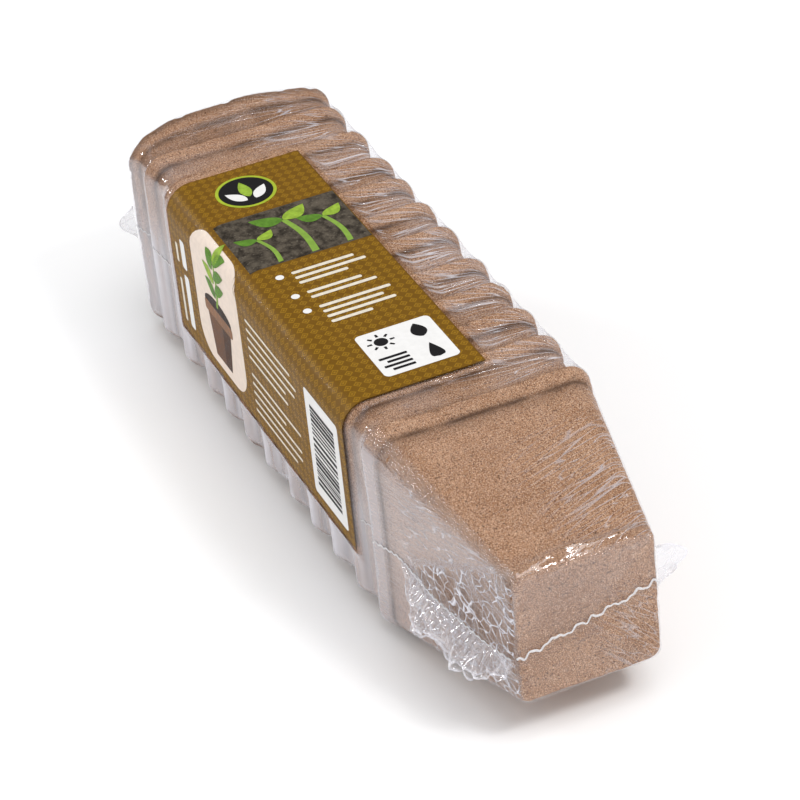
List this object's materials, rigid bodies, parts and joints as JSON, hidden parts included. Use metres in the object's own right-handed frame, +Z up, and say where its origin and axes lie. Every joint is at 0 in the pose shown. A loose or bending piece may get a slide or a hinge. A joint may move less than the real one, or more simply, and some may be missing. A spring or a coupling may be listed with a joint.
{
  "type": "shrink-wrapped stack of square peat pots",
  "caption": "Nested square peat and fibre plant pots lying on their lips, in clear shrink film with a folded card label.",
  "frame": {"origin": "on the floor, under the middle of the pack's box", "axes": "+X along the stack towards the base of the outermost pot, -Y the side with the label's side panel, +Z up"},
  "size_m": [0.293, 0.087, 0.0814],
  "materials": {
    "fibre": "rough moulded fibre with dark and pale flecks",
    "card": "printed satin card",
    "film": "clear glossy shrink film"
  },
  "bodies": {
    "outer_pot": {"pot_01": "fibre", "film_front": "film"},
    "pot_02": {"pot_02": "fibre", "film_band_02": "film", "label_card": "card"},
    "pot_03": {"pot_03": "fibre", "film_band_03": "film"},
    "pot_04": {"pot_04": "fibre", "film_band_04": "film"},
    "pot_05": {"pot_05": "fibre", "film_band_05": "film"},
    "pot_06": {"pot_06": "fibre", "film_band_06": "film"},
    "pot_07": {"pot_07": "fibre", "film_band_07": "film"},
    "pot_08": {"pot_08": "fibre", "film_band_08": "film"},
    "pot_09": {"pot_09": "fibre", "film_band_09": "film"},
    "pot_10": {"pot_10": "fibre", "film_band_10": "film"},
    "pot_11": {"pot_11": "fibre", "film_band_11": "film"},
    "pot_12": {"pot_12": "fibre", "film_band_12": "film"},
    "end_film": {"film_end": "film"}
  },
  "joints": [
    {"name": "pot_02_draw", "type": "slide", "parent": "outer_pot", "child": "pot_02", "axis": [-1, 0, 0], "range_m": [0, 0.0595]},
    {"name": "pot_03_draw", "type": "slide", "parent": "pot_02", "child": "pot_03", "axis": [-1, 0, 0], "range_m": [0, 0.061]},
    {"name": "pot_04_draw", "type": "slide", "parent": "pot_03", "child": "pot_04", "axis": [-1, 0, 0], "range_m": [0, 0.061]},
    {"name": "pot_05_draw", "type": "slide", "parent": "pot_04", "child": "pot_05", "axis": [-1, 0, 0], "range_m": [0, 0.0615]},
    {"name": "pot_06_draw", "type": "slide", "parent": "pot_05", "child": "pot_06", "axis": [-1, 0, 0], "range_m": [0, 0.0565]},
    {"name": "pot_07_draw", "type": "slide", "parent": "pot_06", "child": "pot_07", "axis": [-1, 0, 0], "range_m": [0, 0.0615]},
    {"name": "pot_08_draw", "type": "slide", "parent": "pot_07", "child": "pot_08", "axis": [-1, 0, 0], "range_m": [0, 0.061]},
    {"name": "pot_09_draw", "type": "slide", "parent": "pot_08", "child": "pot_09", "axis": [-1, 0, 0], "range_m": [0, 0.062]},
    {"name": "pot_10_draw", "type": "slide", "parent": "pot_09", "child": "pot_10", "axis": [-1, 0, 0], "range_m": [0, 0.057]},
    {"name": "pot_11_draw", "type": "slide", "parent": "pot_10", "child": "pot_11", "axis": [-1, 0, 0], "range_m": [0, 0.0585]},
    {"name": "pot_12_draw", "type": "slide", "parent": "pot_11", "child": "pot_12", "axis": [-1, 0, 0], "range_m": [0, 0.0635]},
    {"name": "end_film_lift", "type": "slide", "parent": "pot_12", "child": "end_film", "axis": [-1, 0, 0], "range_m": [0, 0.03]}
  ]
}
